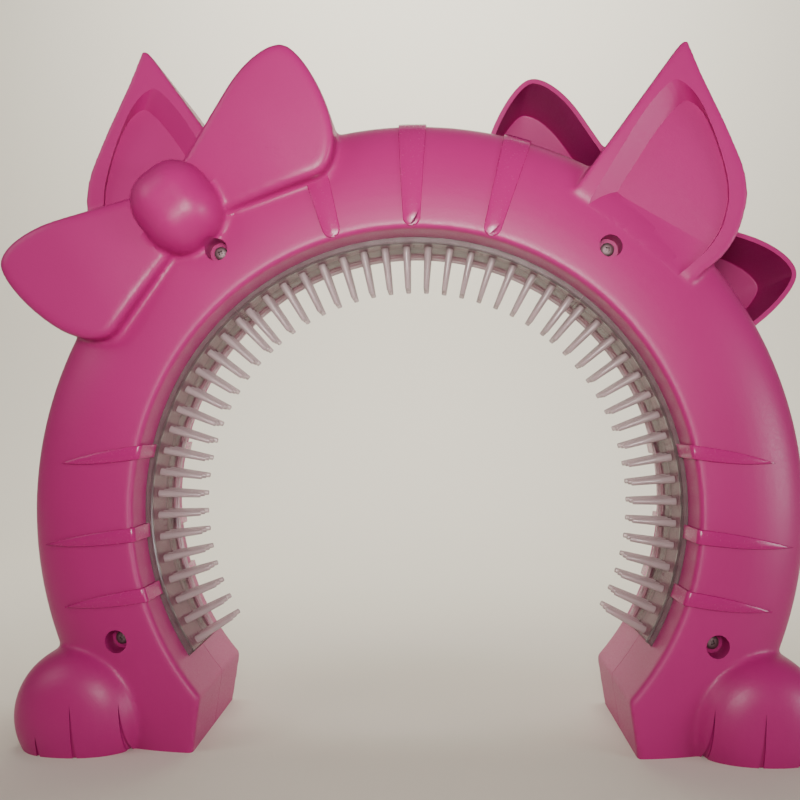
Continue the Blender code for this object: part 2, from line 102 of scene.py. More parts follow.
def add_node(
    tree: bpy.types.NodeTree, kind: str, links: dict | None = None, **settings: object
) -> bpy.types.Node:
    """Add one node with its settings, values and links.

    Args:
        tree: node tree that gets the node.
        kind: Blender's name of the node type.
        links: input name or index to an output socket or to a plain value.
        settings: attributes of the node.

    Returns:
        The new node.
    """
    node = tree.nodes.new(kind)
    for name, value in settings.items():
        setattr(node, name, value)
    for socket, source in (links or {}).items():
        if isinstance(source, bpy.types.NodeSocket):
            tree.links.new(source, node.inputs[socket])
        else:
            node.inputs[socket].default_value = source
    return node


def new_material(name: str) -> tuple[bpy.types.Material, bpy.types.Node]:
    """Make a material with a Principled shader.

    Args:
        name: name of the material.

    Returns:
        The material and its shader node.
    """
    material = bpy.data.materials.new(name)
    material.use_nodes = True
    return material, material.node_tree.nodes["Principled BSDF"]


@dataclass(frozen=True)
class MouldedAbs:
    """Injection-moulded ABS in magenta pink, from a spark-eroded tool.

    The tool leaves a fine even grain, so the plastic has a soft satin sheen whose highlights
    break up into grains, and the colour varies a little where the melt cooled unevenly.
    """

    name: str = "moulded_abs_magenta"
    colour: str = "#AA1C70"
    deep_colour: str = "#9C1864"
    roughness: float = 0.40
    polish_gain: float = 0.17
    grain_mm: float = 0.9
    grain_depth_mm: float = 0.020
    cloud_mm: float = 60.0

    def build(self) -> bpy.types.Material:
        """Make the material.

        Returns:
            The finished material.
        """
        material, shader = new_material(self.name)
        tree = material.node_tree
        place = add_node(tree, "ShaderNodeTexCoord").outputs["Object"]
        cloud = add_node(
            tree,
            "ShaderNodeTexNoise",
            {"Vector": place, "Scale": 1 / (self.cloud_mm * MM), "Detail": 2.0},
        )
        colour = add_node(
            tree,
            "ShaderNodeMix",
            {
                "Factor": cloud.outputs["Fac"],
                6: linear(self.deep_colour),
                7: linear(self.colour),
            },
            data_type="RGBA",
        )
        grain = add_node(
            tree,
            "ShaderNodeTexNoise",
            {"Vector": place, "Scale": 1 / (self.grain_mm * MM), "Detail": 3.0, "Roughness": 0.6},
        )
        rough = add_node(
            tree,
            "ShaderNodeMapRange",
            {
                "Value": grain.outputs["Fac"],
                "From Min": 0.3,
                "From Max": 0.7,
                "To Min": self.roughness - 0.05,
                "To Max": self.roughness + 0.06,
            },
        )
        bump = add_node(
            tree,
            "ShaderNodeBump",
            {
                "Height": grain.outputs["Fac"],
                "Strength": 0.5,
                "Distance": self.grain_depth_mm * MM * 4,
            },
        )
        tree.links.new(colour.outputs[2], shader.inputs["Base Color"])
        polish = add_node(tree, "ShaderNodeAttribute", attribute_name="polish")
        finish = add_node(
            tree,
            "ShaderNodeMath",
            {0: polish.outputs["Fac"], 1: -self.polish_gain, 2: rough.outputs["Result"]},
            operation="MULTIPLY_ADD",
        )
        tree.links.new(finish.outputs["Value"], shader.inputs["Roughness"])
        tree.links.new(bump.outputs["Normal"], shader.inputs["Normal"])
        shader.inputs["IOR"].default_value = 1.54
        shader.inputs["Specular IOR Level"].default_value = 0.36
        return material


@dataclass(frozen=True)
class SmokyElastomer:
    """Translucent smoky thermoplastic, moulded in a polished tool.

    Light passes through it softened, so the pins look milky grey with a touch of warm brown.
    The floor behind the pin roots is drawn darker as painted shade, and the front rim darker and
    greyer as painted shade over the smoky tint; the rear rim keeps the pin colour.
    """

    name: str = "moulded_tpe_smoky"
    pin_colour: str = "#D8C4C8"
    # painted shade: the floor behind the pin roots, sunk between the shells' lips, is drawn darker than
    # the pins
    floor_shade_colour: str = "#7A5A62"
    # painted shade over the smoky tint: the front rim under the front shell's lip is drawn darker and
    # greyer; the rear rim keeps the pin colour
    rim_shade_colour: str = "#6C5A5F"
    pin_cover: float = 0.86
    floor_cover: float = 0.34
    rim_cover: float = 0.74
    transmission: float = 0.55
    pin_radius_mm: float = 117.0
    rim_height_mm: float = 19.2
    roughness: float = 0.18
    streak_mm: float = 7.0

    def build(self) -> bpy.types.Material:
        """Make the material.

        Returns:
            The finished material.
        """
        material, shader = new_material(self.name)
        tree = material.node_tree
        place = add_node(tree, "ShaderNodeTexCoord").outputs["Object"]
        streak = add_node(
            tree,
            "ShaderNodeTexNoise",
            {"Vector": place, "Scale": 1 / (self.streak_mm * MM), "Detail": 2.0},
        )
        rough = add_node(
            tree,
            "ShaderNodeMapRange",
            {
                "Value": streak.outputs["Fac"],
                "From Min": 0.3,
                "From Max": 0.7,
                "To Min": self.roughness - 0.06,
                "To Max": self.roughness + 0.08,
            },
        )
        parts = add_node(tree, "ShaderNodeSeparateXYZ", {"Vector": place})
        low = add_node(
            tree, "ShaderNodeMapping", {"Vector": place, "Location": (0, 0, -CENTRE_HEIGHT * MM),
                                        "Scale": (1.0, 0.0, 1.0)},
        )
        reach = add_node(tree, "ShaderNodeVectorMath", {0: low.outputs["Vector"]})
        reach.operation = "LENGTH"
        on_floor = add_node(
            # mask of the floor's painted shade; it also sets where the pins' cover and transmission end
            tree,
            "ShaderNodeMapRange",
            {
                "Value": reach.outputs["Value"],
                "From Min": (self.pin_radius_mm - 0.1) * MM,
                "From Max": (self.pin_radius_mm + 0.1) * MM,
            },
        )
        # mask of the front rim's painted shade, by depth towards the front
        on_rim = add_node(
            tree,
            "ShaderNodeMapRange",
            {
                "Value": parts.outputs["Y"],
                "From Min": -(self.rim_height_mm - 0.2) * MM,
                "From Max": -(self.rim_height_mm + 0.2) * MM,
            },
        )
        # painted shade: the floor and the front rim are drawn darker than the pins
        colour = self.blend(tree, on_floor, linear(self.pin_colour), linear(self.floor_shade_colour))
        colour = self.blend(tree, on_rim, colour, linear(self.rim_shade_colour))
        cover = self.blend(tree, on_floor, (self.pin_cover,) * 3 + (1,), (self.floor_cover,) * 3 + (1,))
        cover = self.blend(tree, on_rim, cover, (self.rim_cover,) * 3 + (1,))
        tree.links.new(colour, shader.inputs["Base Color"])
        tree.links.new(cover, shader.inputs["Alpha"])
        tree.links.new(rough.outputs["Result"], shader.inputs["Roughness"])
        clear = self.blend(tree, on_floor, (self.transmission,) * 3 + (1,), (0, 0, 0, 1))
        tree.links.new(clear, shader.inputs["Transmission Weight"])
        shader.inputs["IOR"].default_value = 1.48
        return material

    @staticmethod
    def blend(
        tree: bpy.types.NodeTree, factor: bpy.types.Node, first: object, second: object
    ) -> bpy.types.NodeSocket:
        """Blend two colours by the result of a range node.

        Args:
            tree: node tree of the material.
            factor: range node that gives the blend.
            first: colour or socket at zero.
            second: colour or socket at one.

        Returns:
            The blended colour.
        """
        mix = add_node(tree, "ShaderNodeMix")
        mix.data_type = "RGBA"
        tree.links.new(factor.outputs["Result"], mix.inputs[0])
        for socket, value in ((mix.inputs[6], first), (mix.inputs[7], second)):
            if isinstance(value, bpy.types.NodeSocket):
                tree.links.new(value, socket)
            else:
                socket.default_value = value
        return mix.outputs[2]


@dataclass(frozen=True)
class PlatedSteel:
    """Zinc-plated steel screw, cold-headed: grey with a painted pink reflection of the hole walls, and
    fine turning marks.
    """

    name: str = "zinc_plated_steel"
    # painted reflection: the grey is tinted pink for the pink walls of the sunk screw holes
    colour: str = "#8F7A80"
    roughness: float = 0.60
    mark_mm: float = 0.5

    def build(self) -> bpy.types.Material:
        """Make the material.

        Returns:
            The finished material.
        """
        material, shader = new_material(self.name)
        tree = material.node_tree
        place = add_node(tree, "ShaderNodeTexCoord").outputs["Object"]
        marks = add_node(
            tree,
            "ShaderNodeTexNoise",
            {"Vector": place, "Scale": 1 / (self.mark_mm * MM), "Detail": 4.0},
        )
        rough = add_node(
            tree,
            "ShaderNodeMapRange",
            {
                "Value": marks.outputs["Fac"],
                "From Min": 0.3,
                "From Max": 0.7,
                "To Min": self.roughness - 0.08,
                "To Max": self.roughness + 0.12,
            },
        )
        tree.links.new(rough.outputs["Result"], shader.inputs["Roughness"])
        shader.inputs["Base Color"].default_value = linear(self.colour)
        shader.inputs["Metallic"].default_value = 1.0
        return material


@dataclass(frozen=True)
class PalePaper:
    """Matt pale paper of the studio sweep."""

    name: str = "pale_paper"
    colour: str = "#DEDAD0"

    def build(self) -> bpy.types.Material:
        """Make the material.

        Returns:
            The finished material.
        """
        material, shader = new_material(self.name)
        shader.inputs["Base Color"].default_value = linear(self.colour)
        shader.inputs["Roughness"].default_value = 0.9
        shader.inputs["Specular IOR Level"].default_value = 0.2
        return material


# ---------------------------------------------------------------------------------------------
# Mesh helpers
# ---------------------------------------------------------------------------------------------

CENTRE_HEIGHT = 102.0
MERGE = 2e-6


def polar(radius: float, angle: float) -> Flat:
    """Flat coordinates of a point at a radius and an angle in degrees."""
    return (radius * math.cos(math.radians(angle)), radius * math.sin(math.radians(angle)))


def world(x: float, z: float, h: float) -> Vector:
    """World point in metres of a front-shell point in millimetres."""
    return Vector((x, -h, z + CENTRE_HEIGHT)) * MM


def on_outline(radius: float, angle: float, along: float, out: float) -> Flat:
    """Flat coordinates in the frame that sits on a circle at an angle.

    Args:
        radius: radius of the circle.
        angle: place of the frame on the circle, in degrees.
        along: distance clockwise along the tangent.
        out: distance outwards from the circle.

    Returns:
        The point about the arch centre.
    """
    out_x, out_z = polar(1.0, angle)
    reach = radius + out
    return (reach * out_x + along * out_z, reach * out_z - along * out_x)


def object_from(mesh_data: bmesh.types.BMesh, name: str) -> bpy.types.Object:
    """Finish a bmesh: merge doubles, point the faces outwards and make it an object.

    Args:
        mesh_data: the bmesh, freed here.
        name: name of the new object.

    Returns:
        The new object, linked to the scene.
    """
    bmesh.ops.remove_doubles(mesh_data, verts=mesh_data.verts, dist=1e-6)
    bmesh.ops.recalc_face_normals(mesh_data, faces=mesh_data.faces)
    mesh = bpy.data.meshes.new(name)
    mesh_data.to_mesh(mesh)
    mesh_data.free()
    item = bpy.data.objects.new(name, mesh)
    bpy.context.scene.collection.objects.link(item)
    return item


def apply_modifiers(item: bpy.types.Object) -> bpy.types.Object:
    """Bake an object's modifiers into its mesh.

    Args:
        item: the object.

    Returns:
        The same object, without modifiers.
    """
    bpy.context.view_layer.update()
    evaluated = item.evaluated_get(bpy.context.evaluated_depsgraph_get())
    mesh = bpy.data.meshes.new_from_object(evaluated)
    item.modifiers.clear()
    old = item.data
    item.data = mesh
    bpy.data.meshes.remove(old)
    return item


def drop(item: bpy.types.Object) -> None:
    """Remove a working object and its mesh."""
    mesh = item.data
    bpy.data.objects.remove(item, do_unlink=True)
    if mesh.users == 0:
        bpy.data.meshes.remove(mesh)


def mend(item: bpy.types.Object) -> None:
    """Merge doubles and close the hair-thin gaps that a cut can leave, then face outwards."""
    data = bmesh.new()
    data.from_mesh(item.data)
    bmesh.ops.remove_doubles(data, verts=data.verts, dist=MERGE)
    bmesh.ops.dissolve_degenerate(data, edges=data.edges, dist=MERGE)
    rims = [edge for edge in data.edges if edge.is_boundary]
    if rims:
        bmesh.ops.holes_fill(data, edges=rims, sides=8)
    bmesh.ops.recalc_face_normals(data, faces=data.faces)
    data.to_mesh(item.data)
    data.free()


def combine(target: bpy.types.Object, tool: bpy.types.Object, operation: str) -> bpy.types.Object:
    """Apply an exact boolean and remove the tool.

    Args:
        target: object that is changed.
        tool: object that is added or cut away.
        operation: UNION, DIFFERENCE or INTERSECT.

    Returns:
        The target.
    """
    modifier = target.modifiers.new("combine", "BOOLEAN")
    modifier.operation = operation
    modifier.solver = "EXACT"
    modifier.object = tool
    apply_modifiers(target)
    drop(tool)
    mend(target)
    return target


def gather(items: Iterable[bpy.types.Object], name: str) -> bpy.types.Object:
    """Put several working objects into one mesh.

    Args:
        items: the objects, removed here.
        name: name of the new object.

    Returns:
        The new object.
    """
    data = bmesh.new()
    for item in items:
        data.from_mesh(item.data)
        drop(item)
    mesh = bpy.data.meshes.new(name)
    data.to_mesh(mesh)
    data.free()
    gathered = bpy.data.objects.new(name, mesh)
    bpy.context.scene.collection.objects.link(gathered)
    return gathered


def outline_face(
    data: bmesh.types.BMesh, corners: Sequence[Flat], rounds: Sequence[float], h: float
) -> bmesh.types.BMFace:
    """Flat face with rounded corners.

    Args:
        data: bmesh that gets the face.
        corners: flat corner points in order.
        rounds: how much of its edges each corner's rounding takes, up to 0.5.
        h: height of the face.

    Returns:
        The face.
    """
    verts = [data.verts.new(world(x, z, h)) for x, z in corners]
    face = data.faces.new(verts)
    for share in sorted(set(rounds)):
        chosen = [vert for vert, own in zip(verts, rounds) if own == share and share > 0]
        if chosen:
            bmesh.ops.bevel(
                data, geom=chosen, offset=share * 100, offset_type="PERCENT", segments=8,
                profile=0.5, affect="VERTICES", material=-1, clamp_overlap=False,
            )
    face = max(data.faces, key=lambda item: item.calc_area())
    face.normal_update()
    return face


def pillow(
    corners: Sequence[Flat],
    rounds: Sequence[float],
    low: float,
    high: float,
    edge: float,
    name: str,
    segments: int = 6,
) -> bpy.types.Object:
    """Solid on a rounded outline, with a rounded front edge.

    Args:
        corners: flat corner points in order.
        rounds: corner rounding lengths.
        low: height of the back.
        high: height of the front.
        edge: radius of the front edge, or zero.
        name: name of the object.
        segments: steps in the front edge's round.

    Returns:
        The solid.
    """
    data = bmesh.new()
    face = outline_face(data, corners, rounds, low)
    raised = bmesh.ops.extrude_face_region(data, geom=[face])["geom"]
    verts = [item for item in raised if isinstance(item, bmesh.types.BMVert)]
    bmesh.ops.translate(data, verts=verts, vec=(0, -(high - low) * MM, 0))
    if edge > 0:
        rim = [item for item in raised if isinstance(item, bmesh.types.BMEdge)]
        bmesh.ops.bevel(
            data, geom=rim, offset=edge * MM, offset_type="OFFSET", segments=segments,
            profile=0.5, affect="EDGES", material=-1, clamp_overlap=True,
        )
    bmesh.ops.triangulate(data, faces=data.faces)
    return object_from(data, name)


def spun(
    profile: Sequence[Flat], start: float, end: float, steps: int, name: str
) -> bpy.types.Object:
    """Spin a closed (radius, h) profile about the arch axis.

    Args:
        profile: corner points of the section.
        start: first angle in degrees.
        end: last angle in degrees.
        steps: number of steps of the spin.
        name: name of the object.

    Returns:
        The solid.
    """
    data = bmesh.new()
    corners = [data.verts.new(world(*polar(radius, start), h)) for radius, h in profile]
    face = data.faces.new(corners)
    bmesh.ops.spin(
        data, geom=[face, *face.edges, *corners], cent=world(0, 0, 0), axis=(0, -1, 0),
        angle=math.radians(end - start), steps=steps, use_merge=False, use_duplicate=False,
    )
    return object_from(data, name)


def turned(profile: Sequence[Flat], x: float, z: float, steps: int, name: str) -> bpy.types.Object:
    """Turn an open (radius, h) profile about an axis across the shell.

    Args:
        profile: points from one end of the axis to the other; the ends lie on the axis.
        x: flat coordinate of the axis.
        z: flat coordinate of the axis.
        steps: number of steps round.
        name: name of the object.

    Returns:
        The solid.
    """
    data = bmesh.new()
    points = [data.verts.new(world(x + radius, z, h)) for radius, h in profile]
    edges = [data.edges.new(pair) for pair in zip(points, points[1:])]
    bmesh.ops.spin(
        data, geom=[*points, *edges], cent=world(x, z, 0), axis=(0, 1, 0),
        angle=2 * math.pi, steps=steps, use_merge=True, use_duplicate=False,
    )
    return object_from(data, name)


def flat_cut(item: bpy.types.Object, point: Vector, normal: Vector) -> None:
    """Cut away what lies beyond a plane and close the cut.

    Args:
        item: the object.
        point: a point of the plane.
        normal: direction of the part that goes.
    """
    data = bmesh.new()
    data.from_mesh(item.data)
    cut = bmesh.ops.bisect_plane(
        data, geom=[*data.verts, *data.edges, *data.faces], dist=1e-7,
        plane_co=point, plane_no=normal, clear_outer=True, clear_inner=False,
    )
    rim = [part for part in cut["geom_cut"] if isinstance(part, bmesh.types.BMEdge)]
    filled = bmesh.ops.triangle_fill(
        data, edges=rim, use_beauty=True, use_dissolve=False, normal=normal
    )
    faces = [part for part in filled["geom"] if isinstance(part, bmesh.types.BMFace)]
    for face in faces:
        face.normal_update()
        if face.normal.dot(normal) < 0:
            face.normal_flip()
    data.to_mesh(item.data)
    data.free()
    mend(item)


def smooth_shade(item: bpy.types.Object, angle: float) -> None:
    """Shade a piece smooth, with edges sharper than an angle in degrees kept sharp."""
    item.data.shade_smooth()
    item.data.set_sharp_from_angle(angle=math.radians(angle))


# ---------------------------------------------------------------------------------------------
# Shells
# ---------------------------------------------------------------------------------------------


@dataclass
class ArchBand:
    """The hollow band that bends over the doorway, with its two feet."""

    inner_radius: float = 119.0
    outer_radius: float = 168.0
    half_depth: float = 39.0
    draft: float = 0.9
    edge_round: float = 1.9
    shoulder_height: float = 18.0
    shoulder_power: float = 2.3
    dome: float = 0.8
    foot_corner_angle: float = -41.3
    foot_slant: float = 3.4
    steps: int = 152

    def section(self, rise: float, low: float) -> list[Flat]:
        """Section from the inner lip over the domed face and the shoulder to the outer wall.

        Args:
            rise: how far the section stands outside the band's own surface.
            low: height where the section ends.

        Returns:
            (radius, h) points.
        """
        inner = self.inner_radius - rise
        outer = self.outer_radius + rise
        top = self.half_depth + rise
        crown = inner + self.edge_round
        points = [(inner - self.draft, low), (inner, top - self.edge_round)]
        for degrees in (22.5, 45.0, 67.5):
            turn = math.radians(degrees)
            points.append((
                crown - self.edge_round * math.cos(turn),
                top - self.edge_round * (1 - math.sin(turn)),
            ))
        shoulder = self.shoulder_height
        for degrees in range(90, -1, -6):
            turn = math.radians(degrees)
            across = max(math.cos(turn), 0.0) ** (2 / self.shoulder_power)
            height = max(math.sin(turn), 0.0) ** (2 / self.shoulder_power)
            points.append((crown + (outer - crown) * across, shoulder + (top - shoulder) * height))
        points.append((outer, low))
        return points

    def doorway(self) -> bpy.types.Object:
        """Cutter that leaves the inner faces of the feet."""
        corner_x, corner_z = polar(self.inner_radius, self.foot_corner_angle)
        slope = self.foot_slant / (CENTRE_HEIGHT + corner_z)
        top = corner_z + 6.0
        bottom = -CENTRE_HEIGHT - 10.0
        wide = corner_x + slope * (corner_z - bottom)
        narrow = corner_x - slope * (top - corner_z)
        corners = [(-wide, bottom), (wide, bottom), (narrow, top), (-narrow, top)]
        return pillow(corners, [0, 0, 0, 0], -6.0, self.half_depth + 10.0, 0.0, "doorway")

    def build(self, low: float) -> bpy.types.Object:
        """Make the band.

        Args:
            low: height where the band ends, under the meeting plane.

        Returns:
            The solid.
        """
        body = spun(self.section(0.0, low), -62.0, 242.0, self.steps, "band")
        return combine(body, self.doorway(), "DIFFERENCE")


@dataclass
class Ear:
    """Pointed ear with a raised rim round a dish whose floor runs into the arch."""

    radius: float = 168.0
    angle: float = 51.0
    height: float = 36.5
    floor: float = 35.0
    dish_tilt: float = 5.0
    dish_reach: float = 52.0
    outline: tuple[Flat, ...] = (
        (-31.8, -20.0), (-35.9, 60.2), (-20.0, 51.2), (2.0, 40.5), (25.0, 27.5), (36.0, 3.0),
        (30.8, -20.0),
    )
    rounds: tuple[float, ...] = (0.0, 0.11, 0.3, 0.49, 0.49, 0.4, 0.0)
    dish: tuple[Flat, ...] = (
        (-22.9, -26.0), (-32.2, 42.5), (-18.0, 44.5), (3.0, 33.0), (20.0, 20.0), (29.0, 1.0),
        (24.0, -26.0),
    )
    dish_rounds: tuple[float, ...] = (0.0, 0.4, 0.4, 0.49, 0.49, 0.4, 0.0)
    dish_narrowing: float = 0.84
    dish_anchor: Flat = (27.0, -26.0)

    def flat(self, points: Sequence[Flat], side: Side) -> list[Flat]:
        """Place points of the ear's own frame on the arch.

        Args:
            points: (along, out) points.
            side: which ear.

        Returns:
            Flat points about the arch centre.
        """
        placed = [on_outline(self.radius, self.angle, along, out) for along, out in points]
        return [(x * side.value, z) for x, z in placed]

    def build(self, side: Side, low: float) -> bpy.types.Object:
        """Make the ear.

        Args:
            side: which ear.
            low: height of its back.

        Returns:
            The solid.
        """
        return pillow(
            self.flat(self.outline, side), self.rounds, low, self.height, 2.0, "ear", segments=4
        )

    def dish_cutter(self, side: Side, keep: bpy.types.Object) -> bpy.types.Object:
        """Make the cutter of the dish.

        Args:
            side: which ear.
            keep: solid that the dish must leave whole, removed here.

        Returns:
            The cutter.
        """
        data = bmesh.new()
        mouth = self.flat(self.dish, side)
        face = outline_face(data, mouth, self.dish_rounds, self.height + 20.0)
        for step, drop_by in enumerate((20.0, self.height - self.floor)):
            above = face
            raised = bmesh.ops.extrude_face_region(data, geom=[face])["geom"]
            verts = [item for item in raised if isinstance(item, bmesh.types.BMVert)]
            bmesh.ops.translate(data, verts=verts, vec=(0, drop_by * MM, 0))
            face = next(item for item in raised if isinstance(item, bmesh.types.BMFace))
            if step > 0:
                bmesh.ops.delete(data, geom=[above], context="FACES_ONLY")
        anchor = world(*self.flat([self.dish_anchor], side)[0], 0.0)
        turn = Matrix.Rotation(math.radians(side.value * (self.angle - 90.0)), 4, "Y")
        place = turn @ Matrix.Translation(-anchor)
        bmesh.ops.scale(data, verts=verts, vec=(self.dish_narrowing, 1.0, 0.97), space=place)
        for vert in verts:
            across = abs((place @ vert.co).x) / (self.dish_reach * MM)
            vert.co.y += self.dish_tilt * MM * across
        bmesh.ops.triangulate(data, faces=data.faces)
        return combine(object_from(data, "dish"), keep, "DIFFERENCE")


@dataclass
class Paw:
    """Round paw that stands proud of the arch's face, with two long toe grooves."""

    x: float = 143.6
    z: float = -88.0
    radius: float = 29.0
    depth: float = 47.4
    dome: float = 22.0
    groove_width: float = 2.2
    groove_depth: float = 0.8
    grooves: tuple[tuple[float, float, float], ...] = (
        (139.6, 141.9, 26.0), (119.9, 123.2, 26.0), (155.6, 156.8, 13.0),
    )

    def dome_solid(self, side: Side, low: float, inset: float) -> bpy.types.Object:
        """Make the plain rounded paw.

        Args:
            side: which paw.
            low: height of its back.
            inset: how far it lies inside the outer surface.

        Returns:
            The solid.
        """
        radius = self.radius - inset
        profile: list[Flat] = [(0.0, low), (radius, low)]
        for degrees in range(0, 90, 8):
            turn = math.radians(degrees)
            across = radius * math.cos(turn) ** 0.75
            profile.append((across, self.depth - inset - self.dome * (1 - math.sin(turn) ** 0.85)))
        profile.append((0.0, self.depth - inset))
        return turned(profile, self.x * side.value, self.z, 72, "paw")

    def grooves_between_toes(self, side: Side) -> list[bpy.types.Object]:
        """Make the shallow cutters that part the toes.

        Args:
            side: which paw.

        Returns:
            One cutter for each groove.
        """
        cutters = []
        bottom = -CENTRE_HEIGHT - 4.0
        half = self.groove_width / 2
        for foot, top, length in self.grooves:
            corners = [(foot - half, bottom), (foot + half, bottom), (top, bottom + length)]
            corners = [(x * side.value, z) for x, z in corners]
            wedge = pillow(corners, [0, 0, 0], 6.0, self.depth + 8.0, 0.0, "wedge")
            inner = self.dome_solid(side, -8.0, self.groove_depth)
            cutters.append(combine(wedge, inner, "DIFFERENCE"))
        return cutters


@dataclass
class Bow:
    """Bow of two soft lobes and a round knot, set aslant on the arch's outline."""

    radius: float = 168.0
    angle: float = 127.2
    height: float = 46.0
    edge: float = 15.0
    wall: float = 2.2
    lobe: tuple[Flat, ...] = (
        (-8.0, 4.5), (20.0, 12.0), (72.0, 30.5), (81.5, 8.0), (66.0, -36.0), (40.0, -27.5),
        (6.0, -16.5), (-8.0, -12.0),
    )
    lobe_rounds: tuple[float, ...] = (0.0, 0.49, 0.49, 0.49, 0.49, 0.49, 0.49, 0.0)
    pinch_reach: tuple[float, ...] = (50.0, 42.0, 34.0, 26.0, 18.0, 10.0)
    pinch_depth: float = 9.0
    pinch_floor: float = 30.0
    knot_size: tuple[float, float, float] = (17.6, 19.6, 22.0)
    knot_out: float = -5.6
    knot_along: float = -1.6
    pocket_start: float = 14.5
    pocket_lift: float = 0.6
    knot_top: float = 57.0
    axis_drop: float = 6.0

    def flat(self, points: Sequence[Flat], way: int) -> list[Flat]:
        """Place the points of a lobe on the arch.

        Args:
            points: (along, out) points.
            way: 1 or -1, the direction of the lobe along the bow.

        Returns:
            Flat points about the arch centre.
        """
        return [on_outline(self.radius, self.angle, way * along, out) for along, out in points]

    def make_lobe(self, way: int, low: float, inset: float) -> bpy.types.Object:
        """Make one lobe.

        Args:
            way: 1 or -1, the direction of the lobe along the bow.
            low: height of its back.
            inset: how far it lies inside the outer surface.

        Returns:
            The solid.
        """
        data = bmesh.new()
        corners = self.flat(self.lobe, way)
        face = outline_face(data, corners, self.lobe_rounds, low)
        if inset > 0:
            ring = bmesh.ops.inset_region(
                data, faces=[face], thickness=inset * MM, use_even_offset=True,
                use_boundary=True,
            )
            bmesh.ops.delete(data, geom=ring["faces"], context="FACES")
            face = data.faces[:][0]
            loose = [vert for vert in data.verts if not vert.link_faces]
            bmesh.ops.delete(data, geom=loose, context="VERTS")
        raised = bmesh.ops.extrude_face_region(data, geom=[face])["geom"]
        verts = [item for item in raised if isinstance(item, bmesh.types.BMVert)]
        rise = self.height - inset - low
        bmesh.ops.translate(data, verts=verts, vec=(0, -rise * MM, 0))
        rim = [item for item in raised if isinstance(item, bmesh.types.BMEdge)]
        bmesh.ops.bevel(
            data, geom=rim, offset=(self.edge - inset) * MM, offset_type="OFFSET", segments=8,
            profile=0.5, affect="EDGES", material=-1, clamp_overlap=True,
        )
        self.pinch(data, way)
        bmesh.ops.triangulate(data, faces=data.faces)
        return object_from(data, "lobe")

    def pinch(self, data: bmesh.types.BMesh, way: int) -> None:
        """Let a lobe's face fall towards the knot.

        Args:
            data: bmesh of the lobe.
            way: 1 or -1, the direction of the lobe along the bow.
        """
        out_x, out_z = polar(1.0, self.angle)
        along = Vector((out_z, 0.0, -out_x)) * way
        middle = world(*on_outline(self.radius, self.angle, 0.0, 0.0), 0.0)
        for reach in self.pinch_reach:
            bmesh.ops.bisect_plane(
                data, geom=[*data.verts, *data.edges, *data.faces], dist=1e-7,
                plane_co=middle + along * reach * MM, plane_no=along,
            )
        for vert in data.verts:
            share = 1.0 - (vert.co - middle).dot(along) / (self.pinch_reach[0] * MM)
            if share > 0 and -vert.co.y > self.pinch_floor * MM:
                vert.co.y += self.pinch_depth * MM * min(share, 1.0) ** 1.5

    def make_knot(self, low: float) -> bpy.types.Object:
        """Make the knot.

        Args:
            low: not used.

        Returns:
            The solid.
        """
        x, z = on_outline(self.radius, self.angle, self.knot_along, self.knot_out)
        width, length, rise = self.knot_size
        data = bmesh.new()
        bmesh.ops.create_cube(data, size=2.0)
        bmesh.ops.bevel(
            data, geom=data.edges[:], offset=0.82, offset_type="OFFSET", segments=12,
            profile=0.5, affect="EDGES", material=-1, clamp_overlap=True,
        )
        bmesh.ops.scale(data, verts=data.verts, vec=(width, rise, length))
        bmesh.ops.rotate(
            data, verts=data.verts, cent=(0, 0, 0),
            matrix=Matrix.Rotation(math.radians(-(self.angle - 90.0)), 3, "Y"),
        )
        bmesh.ops.scale(data, verts=data.verts, vec=(MM, MM, MM))
        centre = world(x, z, self.knot_top - rise)
        bmesh.ops.translate(data, verts=data.verts, vec=centre)
        return object_from(data, "knot")

    def build(self, low: float) -> list[bpy.types.Object]:
        """Make the parts of the bow, which overlap.

        Args:
            low: height of their backs.

        Returns:
            Two lobes and the knot.
        """
        return [self.make_lobe(1, low, 0.0), self.make_lobe(-1, low, 0.0), self.make_knot(low)]

    def clear(self, cutter: bpy.types.Object) -> None:
        """Keep a cutter outside the bow: off its parts and off what lies inwards of its axis.

        Args:
            cutter: the cutter.
        """
        out_x, out_z = polar(1.0, self.angle)
        axis = world(*polar(self.radius - self.axis_drop, self.angle), 0.0)
        flat_cut(cutter, axis, Vector((-out_x, 0.0, -out_z)))
        for part in self.build(-10.0):
            combine(cutter, part, "DIFFERENCE")

    def pockets(self) -> list[bpy.types.Object]:
        """Make the cutters for the open backs of the two lobes.

        Returns:
            One cutter for each lobe, ending at the arch's outer wall.
        """
        cutters = []
        reach = self.radius + self.pocket_lift
        for way in (1, -1):
            pocket = self.make_lobe(way, -6.0, self.wall)
            out_x, out_z = polar(1.0, self.angle)
            along = Vector((out_z, 0.0, -out_x)) * way
            start = world(*on_outline(self.radius, self.angle, 0.0, 0.0), 0.0)
            flat_cut(pocket, start + along * self.pocket_start * MM, -along)
            limit = spun(
                [(100.0, -20.0), (reach, -20.0), (reach, 60.0), (100.0, 60.0)],
                self.angle - 40.0, self.angle + 40.0, 60, "limit",
            )
            cutters.append(combine(pocket, limit, "DIFFERENCE"))
        return cutters


